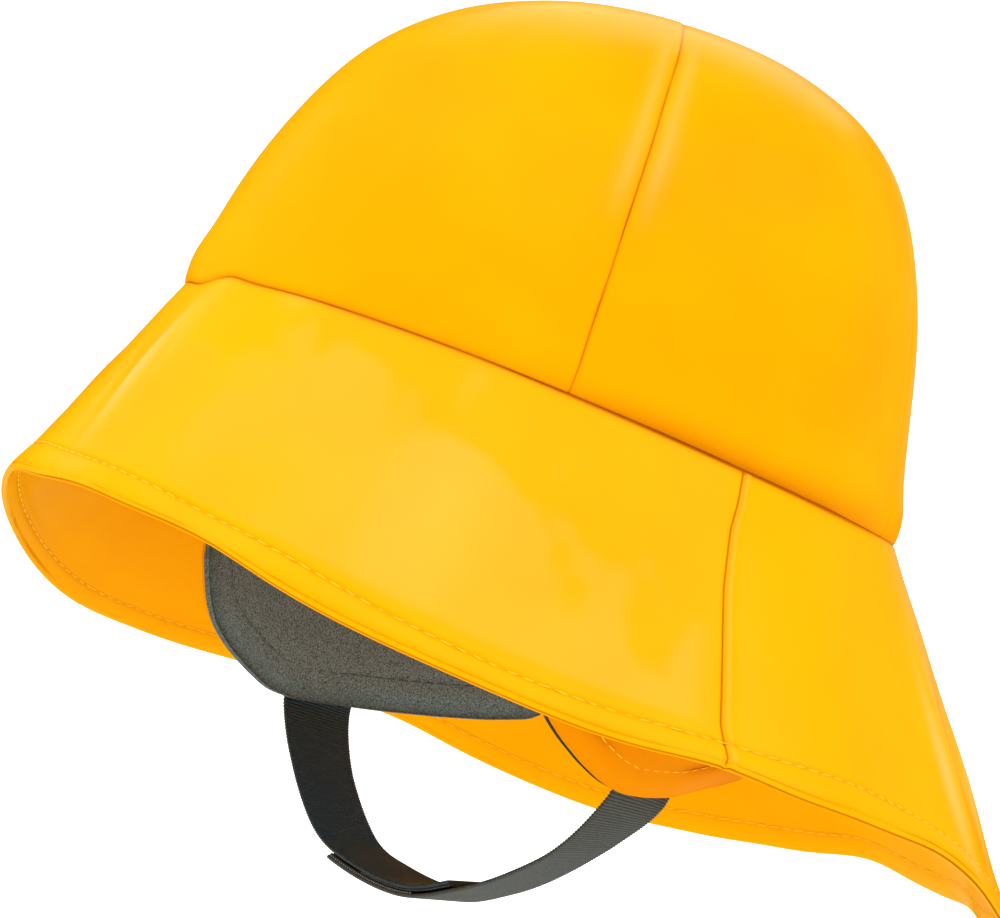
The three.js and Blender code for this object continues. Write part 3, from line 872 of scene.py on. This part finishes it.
def flap_point(angle, down, side):
    """A point of the flap's face. It leans in towards the cheek, whose oval is the smaller one."""
    share = down / FLAP_DROP
    half_length = (BAND_HALF_LENGTH - FLAP_INSET) * (1 - share) + CHEEK_HALF_LENGTH * share
    half_width = (BAND_HALF_WIDTH - FLAP_INSET) * (1 - share) + CHEEK_HALF_WIDTH * share
    turn = np.radians(angle)
    height = seam_height(angle) * (1 - share) - down
    return np.stack([SIDES[side] * half_width * np.sin(turn), -half_length * np.cos(turn), height], -1)


def flap_face(angle, down, side):
    """Points of the flap's face, and its normals there, away from the head."""
    surface = lambda turn, depth: flap_point(turn, depth, side)
    outward = normals_of(surface, angle, down)
    return surface(angle, down), outward * np.sign(outward[..., :1] * SIDES[side])


def flap_drop(angle, side):
    """How far the flap hangs down at an angle, in millimetres."""
    return FLAP_DROP * np.interp(angle, FLAP_ANGLES[side], FLAP_EDGE[side])


def flat_place(angle, down):
    """The flap laid flat: millimetres round the head and down."""
    return np.stack([(angle - STRAP_ANGLE) * FLAT_STRETCH, down], -1)


def flap_ripple(flat, seed):
    """The soft unevenness of a layer, in millimetres."""
    return 0.25 * soft_noise(flat[..., 0] + 200, flat[..., 1], 14, seed)


def smooth_outline(side, count=241):
    """The flap's lower outline, with the corners of its table rounded off."""
    angle = np.linspace(FLAP_ANGLES[side][0], FLAP_ANGLES[side][-1], count)
    drop = flap_drop(angle, side)
    padded = np.pad(drop, 12, mode="reflect", reflect_type="odd")
    weights = np.hanning(19)
    return angle, np.convolve(padded, weights / weights.sum(), "same")[12:-12]


def edge_distance(flat, outline):
    """Millimetres from each flat point to the nearest piece of the outline."""
    start, along = outline[:-1], np.diff(outline, axis=0)
    to_point = flat[..., None, :] - start
    share = np.clip((to_point * along).sum(-1) / (along * along).sum(-1), 0, 1)
    return np.linalg.norm(to_point - along * share[..., None], axis=-1).min(-1)


def flap_outline(side):
    """The flap's open outline, laid flat: down the front, along the lower edge and up the rear."""
    angle, drop = smooth_outline(side)
    first = flat_place(np.full(30, angle[0]), np.linspace(FLAP_TOP, drop[0], 30))
    last = flat_place(np.full(30, angle[-1]), np.linspace(drop[-1], FLAP_TOP, 30))
    return np.concatenate([first[:-1], flat_place(angle, drop), last[1:]])


def flap_layer(name, side, material, setbacks, wall, edge_wall, seed, proud=0.0, hang=0.0):
    """One layer of a flap. setbacks are its depth behind the flap's face in the middle, at the
    edge and at the edge beside the strap. proud and hang are how far it shows past the outline,
    in front in degrees round the head and below in millimetres."""
    first, last = FLAP_ANGLES[side][0] - proud, FLAP_ANGLES[side][-1]
    span = last - first
    angles, drops = smooth_outline(side)
    drops = drops + hang
    along = 1 - spread(76, 0.3, 2.0, both_ends=False)[::-1]
    across = spread(span * FLAT_STRETCH, 0.3, 1.6)
    across, along = np.broadcast_arrays(across[:, None], along[None, :])

    def place(across, along):
        angle = first + span * across
        return angle, FLAP_TOP + (np.interp(angle + proud, angles, drops) - FLAP_TOP) * along

    def surface(across, along):
        return flap_point(*place(across, along), side)

    angle, down = place(across, along)
    flat = flat_place(angle, down)
    distance = edge_distance(flat, flap_outline(side))
    points = surface(across, along)
    outward = normals_of(surface, across, along)
    outward = outward * np.sign(outward[..., :1] * SIDES[side])
    middle, edge, strap_edge = setbacks
    near_strap = np.exp(-((flat[..., 0] / 12) ** 4))
    closed = edge * (1 - near_strap) + strap_edge * near_strap
    setback = middle + (closed - middle) * np.exp(-((distance / 3.2) ** 1.6))
    stitch_dip = 0.4 * bump_at(distance, STITCH_INSET, 0.8) * smooth_step(down, 3, 10)
    ripple = flap_ripple(flat, seed) * smooth_step(distance, 0, 8)
    thick = wall + (edge_wall - wall) * bump_at(distance, 0, 1.2)
    # Painted shade: on the left fleece a thin dark edge, on the right fleece a broader dark rim, and on the
    # cloth a dark line in the stitches' dip
    if material is fleece:
        outside_dip, inside_dip = 0, stitch_dip
        shade = 0.9 * bump_at(distance, 0, 1.2) if side == "left" else 0.42 * bump_at(distance, 0.3, 2.6)
    else:
        outside_dip, inside_dip = stitch_dip, 0
        shade = 0.6 * bump_at(distance, STITCH_INSET, 0.5) * smooth_step(down, 3, 10)
    outer = points + outward * (ripple - setback - outside_dip)[..., None]
    inner = points + outward * (ripple - setback - thick + inside_dip)[..., None]
    sections = np.concatenate([outer, inner[:, ::-1]], axis=1)
    return wall_of_sections(name, sections, material, sunk=np.concatenate([shade, shade[:, ::-1]], axis=1))


# %% Both layers of both flaps
LINING_HANG = {"right": 0.6, "left": 0.2}
for side, hang in LINING_HANG.items():
    name = f"ear_flap_{side}_cloth"
    outside = flap_layer(name, side, flap_cloth, (0, 1.2, 0.9), 0.95, 0.8, CLOTH_SEED)
    finish_piece(outside, f"ear_flap_{side}", slot="flap_cloth")
    name = f"ear_flap_{side}_fleece"
    lining = flap_layer(name, side, fleece, (3.7, 2.1, 3.3), 1.8, 1.1, FLEECE_SEED, 0.4, hang)
    finish_piece(lining, f"ear_flap_lining_{side}", slot="fleece")

# %% [markdown]
# ## Chin strap
# The strap is 20 mm webbing with fine ribs across it. Each half is sewn into a flap, and the
# halves overlap under the chin, where a loop pad on the one meets a hook pad on the other.
# The course is a smooth curve through a few points. They lie close to those of the solids'
# strap and were fitted to the photograph once more.

# %% The strap's course
STRAP_WIDTH, STRAP_WALL, STRAP_DROP, STRAP_TUCK = 20, 1.2, 36, 7
SLOT, FLAP_WALL = 2.8, 1.2
# Each row of the course has its place across and down, as shares of half the span between the
# flaps and of the strap's drop, and then the webbing's lean in degrees
COURSE = (
    (-0.824, 0.458, 3.4),
    (-0.541, 0.85, 5.7),
    (-0.309, 0.952, 9),
    (0.076, 0.98, 10.6),
    (0.335, 0.84, 11.8),
    (0.577, 0.648, 14.4),
    (0.82, 0.376, 17.5),
)
RIGHT_END, LEFT_START = 0.62, 0.35


def strap_end(side, above_edge):
    """The strap's centre between the flap's layers, at a height above the flap's edge."""
    angle = np.array([float(STRAP_ANGLE)])
    points, outward = flap_face(angle, flap_drop(angle, side) - above_edge, side)
    return (points - outward * (FLAP_WALL + SLOT / 2))[0]


def strap_rows():
    """Points of the course with the webbing's lean and yaw there, from right flap to left."""
    turn = math.radians(STRAP_ANGLE)
    yaw = math.atan2(CHEEK_HALF_WIDTH * math.cos(turn), CHEEK_HALF_LENGTH * math.sin(turn))
    runs = (STRAP_TUCK, STRAP_TUCK / 2, -STRAP_WALL * 2)
    ends = {side: [(strap_end(side, run), 0, SIDES[side] * yaw) for run in runs] for side in SIDES}
    right, left = strap_end("right", 0), strap_end("left", 0)
    span, height, middle = (left[0] - right[0]) / 2, (left[2] + right[2]) / 2, (left[1] + right[1]) / 2
    between = [
        (np.array([across * span, middle, height - down * STRAP_DROP]), math.radians(lean), 0)
        for across, down, lean in COURSE
    ]
    return ends["right"] + between + ends["left"][::-1]


def course_curve(points, steps=40):
    """A smooth curve through the points, and each sample's place counted in points."""
    points = np.array(points)
    padded = np.concatenate([[2 * points[0] - points[1]], points, [2 * points[-1] - points[-2]]])
    samples, places = [], []
    for k in range(len(points) - 1):
        p0, p1, p2, p3 = padded[k : k + 4]
        d0, d1, d2 = (np.linalg.norm(b - a) ** 0.5 for a, b in ((p0, p1), (p1, p2), (p2, p3)))
        m1 = ((p1 - p0) / d0 - (p2 - p0) / (d0 + d1) + (p2 - p1) / d1) * d1
        m2 = ((p2 - p1) / d1 - (p3 - p1) / (d1 + d2) + (p3 - p2) / d2) * d1
        for step in range(steps):
            t = step / steps
            samples.append(
                p1 + m1 * t + (3 * (p2 - p1) - 2 * m1 - m2) * t * t + (2 * (p1 - p2) + m1 + m2) * t**3
            )
            places.append(k + t)
    return np.array(samples + [points[-1]]), np.array(places + [len(points) - 1.0])


ROWS = strap_rows()
COURSE_POINTS, COURSE_PLACES = course_curve([row[0] for row in ROWS])
COURSE_RUN = np.concatenate([[0], np.cumsum(np.linalg.norm(np.diff(COURSE_POINTS, axis=0), axis=1))])
STRAP_LENGTH = COURSE_RUN[-1]
print("strap course, mm:", round(STRAP_LENGTH, 1))


def smooth_leans(reach=28):
    """The lean at each sample of the course, with the corners between the rows rounded off."""
    lean = np.interp(COURSE_PLACES, range(len(ROWS)), [row[1] for row in ROWS])
    weights = np.hanning(2 * reach + 3)[1:-1]
    return np.convolve(np.pad(lean, reach, mode="edge"), weights / weights.sum(), "valid")


COURSE_LEANS = smooth_leans()


def strap_frame(run):
    """Centre, width direction and headward direction at each run in millimetres."""
    centre = np.stack([np.interp(run, COURSE_RUN, COURSE_POINTS[:, k]) for k in range(3)], -1)
    tangent = np.gradient(COURSE_POINTS, COURSE_RUN, axis=0)
    along = unit(np.stack([np.interp(run, COURSE_RUN, tangent[:, k]) for k in range(3)], -1))
    place = np.interp(run, COURSE_RUN, COURSE_PLACES)
    lean = np.interp(run, COURSE_RUN, COURSE_LEANS)[:, None]
    yaw = np.interp(place, range(len(ROWS)), [row[2] for row in ROWS])
    level = np.stack([np.sin(yaw), np.cos(yaw), 0 * yaw], -1)
    level = unit(level - along * (level * along).sum(-1, keepdims=True))
    headward = -unit(np.cross(level, along))
    widthwise = level * np.cos(lean) + headward * np.sin(lean)
    inward = headward * np.cos(lean) - level * np.sin(lean)
    return centre, widthwise, inward


SHOWN_WALL, SHOWN_PAD, PAD_MIDDLE = 0.9, 0.5, 0.29
PAD_ROOM = PAD_MIDDLE + SHOWN_PAD / 2 + 0.05


def half_offset(share, direction):
    """How far a half lies off the course. The halves part only where the pads are between."""
    if direction > 0:
        opened = smooth_step(share, 0.12, LEFT_START - 0.02)
    else:
        opened = 1 - smooth_step(share, RIGHT_END + 0.02, 0.88)
    return direction * opened * (PAD_ROOM + SHOWN_WALL / 2)


def band(name, start, end, offset, width, wall, material, pitch):
    """A flat band along the course, with rounded edges. Its mark "upper" is 1 on the face
    towards the head."""
    count = int((end - start) * STRAP_LENGTH / pitch) + 1
    share = np.linspace(start, end, count)
    centre, widthwise, inward = strap_frame(share * STRAP_LENGTH)
    middle = centre + inward * offset(share)[:, None]
    half = width / 2
    edge = [(-half, 0.5), (-half + 0.12, 0.82), (-half + 0.4, 1)]
    level = [(place, 1) for place in np.linspace(-half + 1.6, half - 1.6, 9)]
    rows = edge + level + [(-place, rise) for place, rise in edge[::-1]]
    sections = []
    for sign, order in ((1, rows), (-1, rows[::-1])):
        sections += [middle + widthwise * w + inward * (sign * rise * wall / 2) for w, rise in order]
    upper = np.tile([0.0, 0.0] + [1.0] * 11 + [0.0] * 17, (count, 1))
    piece = wall_of_sections(name, np.stack(sections, axis=1), material, upper=upper)
    run = piece.data.attributes.new("run", "FLOAT", "POINT")
    run.data.foreach_set("value", np.repeat(share * STRAP_LENGTH, len(sections)).astype(np.float32))
    return piece


# %% [markdown]
# ## Geometry Nodes for ribs and stitches
# Ribs and stitches repeat along a path, so node trees make them. The rib tree pushes the
# webbing's skin in and out with a wave along its run. The stitch tree puts a short thread at
# even steps on a line. Each tree ends in Realize Instances and Set Material.


# %% Node trees for ribs and stitches
def geometry_tree(name, inputs):
    """A Geometry Nodes tree with a geometry in, named inputs in and a geometry out, and the
    values of its inputs. An input with no value takes a material."""
    group = bpy.data.node_groups.new(name, "GeometryNodeTree")
    group.interface.new_socket("Geometry", in_out="INPUT", socket_type="NodeSocketGeometry")
    for label, value in inputs.items():
        kind = "NodeSocketMaterial" if value is None else "NodeSocketFloat"
        made = group.interface.new_socket(label, in_out="INPUT", socket_type=kind)
        if value is not None:
            made.default_value = value
    group.interface.new_socket("Geometry", in_out="OUTPUT", socket_type="NodeSocketGeometry")
    tree = Tree(group)
    source = group.nodes.new("NodeGroupInput")
    values = {label: Value(tree, source.outputs[label]) for label in ["Geometry", *inputs]}
    return group, tree, values


def end_tree(tree, geometry, material):
    """The last nodes of a tree, up to its output."""
    real = tree.node("GeometryNodeRealizeInstances", inputs={"Geometry": geometry})
    shown = tree.node("GeometryNodeSetMaterial", inputs={"Geometry": real, "Material": material})
    tree.node("NodeGroupOutput", inputs={"Geometry": shown}, output=None)


def run_tree(source, group, values):
    """Puts the tree on an object with these inputs and keeps the result as a plain mesh."""
    modifier = source.modifiers.new(group.name, "NODES")
    modifier.node_group = group
    for item in group.interface.items_tree:
        if item.in_out == "INPUT" and item.name in values:
            modifier[item.identifier] = values[item.name]
    evaluated = source.evaluated_get(bpy.context.evaluated_depsgraph_get())
    mesh = bpy.data.meshes.new_from_object(evaluated)
    source.modifiers.clear()
    return mesh


def rib_tree():
    """Pushes each point along its normal by a wave in its run attribute."""
    sizes = {"Rib Pitch": 0.8, "Rib Height": 0.1, "Material": None}
    group, tree, given = geometry_tree("Ribbed webbing", sizes)
    run = tree.node("GeometryNodeInputNamedAttribute", {"data_type": "FLOAT"}, {"Name": "run"})
    wave = tree.node("ShaderNodeMath", {"operation": "SINE"}, {0: run / given["Rib Pitch"] * (2 * math.pi)})
    normal = tree.node("GeometryNodeInputNormal")
    height = wave * given["Rib Height"] * 0.001
    push = tree.node("ShaderNodeVectorMath", {"operation": "SCALE"}, {0: normal, "Scale": height})
    moved = tree.node("GeometryNodeSetPosition", inputs={"Geometry": given["Geometry"], "Offset": push})
    end_tree(tree, moved, given["Material"])
    return group


def stitch_tree():
    """Puts short round threads at even steps along the lines that it is given."""
    sizes = {"Pitch": 0.0038, "Stitch Length": 0.0031, "Thread Radius": 0.00022, "Material": None}
    group, tree, given = geometry_tree("Stitch line", sizes)
    curve = tree.node("GeometryNodeMeshToCurve", inputs={"Mesh": given["Geometry"]})
    steps = {"Curve": curve, "Length": given["Pitch"]}
    points = tree.node("GeometryNodeCurveToPoints", {"mode": "LENGTH"}, steps)
    turn = Value(tree, points.socket.node.outputs["Rotation"])
    ball = {"Segments": 6, "Rings": 6, "Radius": given["Thread Radius"]}
    thread = tree.node("GeometryNodeMeshUVSphere", inputs=ball)
    drawn_out = given["Stitch Length"] / (given["Thread Radius"] * 2)
    stretch = tree.node("ShaderNodeCombineXYZ", inputs={"X": 1.0, "Y": 1.0, "Z": drawn_out})
    copies = {"Points": points, "Instance": thread, "Rotation": turn, "Scale": stretch}
    placed = tree.node("GeometryNodeInstanceOnPoints", inputs=copies)
    real = tree.node("GeometryNodeRealizeInstances", inputs={"Geometry": placed})
    shaded = tree.node("GeometryNodeSetShadeSmooth", inputs={0: real})
    end_tree(tree, shaded, given["Material"])
    return group


RIBS, STITCHES = rib_tree(), stitch_tree()


def sewn_line(name, lines, thread, slot, pitch=3.8, length=3.1, radius=0.17):
    """Stitches along open lines of points in millimetres, as one plain mesh."""
    points, edges = [], []
    for line in lines:
        first = len(points)
        points.extend((np.asarray(line) * 0.001).tolist())
        edges.extend((first + k, first + k + 1) for k in range(len(line) - 1))
    path = bpy.data.meshes.new(name + "_path")
    path.from_pydata(points, edges, [])
    source = add_object(name + "_path", path)
    sizes = {"Pitch": pitch * 0.001, "Stitch Length": length * 0.001, "Thread Radius": radius * 0.001}
    mesh = run_tree(source, STITCHES, {**sizes, "Material": thread})
    bpy.data.objects.remove(source)
    finish_piece(add_object(name, mesh), slot=slot)


# %% [markdown]
# ## The strap's halves and pads
# The ribs need a mesh with several rows for each rib, so the bands are made with about six rows
# to the millimetre and then pushed by the tree.

# %% Strap halves and pads
def ribbed_band(name, node, start, end, direction, cloth):
    """One half of the strap, made as a plain band and then ribbed by its tree."""
    offset = lambda share: half_offset(share, direction)
    source = band(name + "_plain", start, end, offset, STRAP_WIDTH, SHOWN_WALL, cloth, 0.16)
    mesh = run_tree(source, RIBS, {"Rib Pitch": 0.8, "Rib Height": 0.1, "Material": cloth})
    bpy.data.objects.remove(source)
    finish_piece(add_object(name, mesh), node, slot="webbing")


ribbed_band("webbing_right", "chin_strap_right", 0, RIGHT_END, 1, inner_webbing)
ribbed_band("webbing_left", "chin_strap_left", LEFT_START, 1, -1, webbing)
PAD_SHARE = 30 / STRAP_LENGTH


def pad_band(name, start, end, height):
    """A pad of the strap's fastener, at a height from the course towards the head."""
    level = lambda share: np.full_like(share, height)
    pad = band(name + "_cloth", start, end, level, STRAP_WIDTH - 1, SHOWN_PAD, pad_cloth, 0.8)
    finish_piece(pad, name, slot="strap_pads")


pad_band("loop_pad", RIGHT_END - PAD_SHARE, RIGHT_END, PAD_MIDDLE)
pad_band("hook_pad", LEFT_START, LEFT_START + PAD_SHARE, -PAD_MIDDLE)


def pad_edges(start, end, height):
    """The two long edges of a pad, as lines along the strap."""
    centre, widthwise, inward = strap_frame(np.linspace(start, end, 200) * STRAP_LENGTH)
    return [centre + inward * height + widthwise * reach for reach in (-9.7, 9.7)]


hook_lines = pad_edges(LEFT_START + 0.006, LEFT_START + PAD_SHARE, -PAD_MIDDLE - 0.1)
sewn_line("hook_rows", hook_lines, hook_plastic, "strap_pads", pitch=0.85, length=0.5, radius=0.27)

# %% [markdown]
# ## Stitches
# The hem and the flaps' edges are sewn with short even stitches, which sit in the small dips
# that the cloth was given above.

# %% Hem stitches
def hem_line(start, end, outside):
    """The line of the hem's stitches on one side of one brim piece, just clear of the cloth."""
    angle = np.linspace(start, end, 500)
    share = 1 - stitch_inset(angle, outside) / brim_length(angle)
    outward = normals_of(brim_point, angle, share)
    outward = outward * np.sign(outward[:, 2:3])
    relief = brim_relief(angle, share, outside)
    height = relief + 0.05 if outside else relief - hem_wall(0) - 0.04
    return brim_point(angle, share) + outward * height[:, None]


HEM_ENDS = ((-BRIM_SEAM + 0.5, BRIM_SEAM - 0.5), (BRIM_SEAM + 0.5, 359.5 - BRIM_SEAM))
hem_lines = [hem_line(start, end, outside) for outside in (True, False) for start, end in HEM_ENDS]
sewn_line("hem_stitches", hem_lines, yellow_thread, "brim_cloth")


# %% Flap stitches
def flap_stitch_line(side, depth, seed):
    """The line on a flap that runs a fixed distance inside its outline, at a depth behind its
    face. seed is that of the layer whose ripple it follows."""
    outline = flap_outline(side)
    along = unit(np.gradient(outline, axis=0))
    inward = np.stack([along[:, 1], -along[:, 0]], -1)
    half = len(outline) // 2
    if ((outline.mean(0) - outline[half]) * inward[half]).sum() < 0:
        inward = -inward
    line = outline + inward * STITCH_INSET
    line = line[(edge_distance(line, outline) > STITCH_INSET - 0.3) & (line[:, 1] > 6)]
    points, outward = flap_face(line[:, 0] / FLAT_STRETCH + STRAP_ANGLE, line[:, 1], side)
    return points + outward * (flap_ripple(line, seed) - depth)[:, None]


cloth_lines = [flap_stitch_line(side, 0.22, CLOTH_SEED) for side in SIDES]
fleece_lines = [flap_stitch_line(side, 5.3, FLEECE_SEED) for side in SIDES]
sewn_line("flap_stitches_outside", cloth_lines, yellow_thread, "flap_cloth", pitch=3.4, length=2.7)
sewn_line("flap_stitches_inside", fleece_lines, grey_thread, "fleece", pitch=3.4, length=2.7)

# %% [markdown]
# ## Floor and light
# A pale floor lies well below the hat, because the camera looks up from under it. A white
# world gives the even, shadowless light of a product photograph, and large soft lamps give
# the coated cloth its broad highlights.

# %% Floor, world and lamps
FLOOR_DROP = 0.42
LAMP_DISTANCE = 1.4


def make_floor():
    """A plane with a faint unevenness in its tone, which isn't part of the hat."""
    bpy.ops.mesh.primitive_plane_add(size=3, location=(0, 0, -FLOOR_DROP))
    floor = bpy.context.object
    floor.name = "studio_floor"
    material, tree, shader = finish_tree("pale floor")
    tone = tree.mix(tree.noise(6, 2), (0.9, 0.9, 0.9, 1), (0.86, 0.86, 0.86, 1))
    tree.feed(shader, {"Base Color": tone, "Roughness": 0.9})
    floor.data.materials.append(material)


def soft_lamp(name, azimuth, elevation, width, height, power, lights_all=True):
    """A soft box that faces the hat. One that doesn't light all is seen only in the gloss."""
    away = direction_at(azimuth, elevation)
    data = bpy.data.lights.new(name, "AREA")
    data.shape, data.size, data.size_y, data.energy = "ELLIPSE", width, height, power
    lamp = add_object(name, data)
    lamp.rotation_mode = "QUATERNION"
    lamp.location = away * LAMP_DISTANCE
    lamp.visible_diffuse = lights_all
    lamp.rotation_quaternion = away.to_track_quat("Z", "Y")


def white_world(strength):
    """Even white light from all sides, which isn't mirrored in the gloss."""
    world = bpy.data.worlds.new("white studio")
    world.use_nodes = True
    world.node_tree.nodes["Background"].inputs["Color"].default_value = (1, 1, 1, 1)
    world.node_tree.nodes["Background"].inputs["Strength"].default_value = strength
    world.cycles_visibility.glossy = False
    bpy.context.scene.world = world


make_floor()
white_world(1.68)
soft_lamp("front glow", 0, 52, 1.9, 0.7, 27, lights_all=False)
soft_lamp("side glow", 82, 52, 2.0, 0.7, 34, lights_all=False)
soft_lamp("rear glow", -130, 46, 1.2, 0.8, 8, lights_all=False)
soft_lamp("right glow", -152, 16, 0.4, 0.4, 0.2, lights_all=False)
soft_lamp("left glow", -83, 24, 0.3, 0.3, 0.7, lights_all=False)
soft_lamp("fill lamp", -45, 38, 1.2, 1.2, 4)
bpy.context.scene.view_settings.view_transform = "Standard"
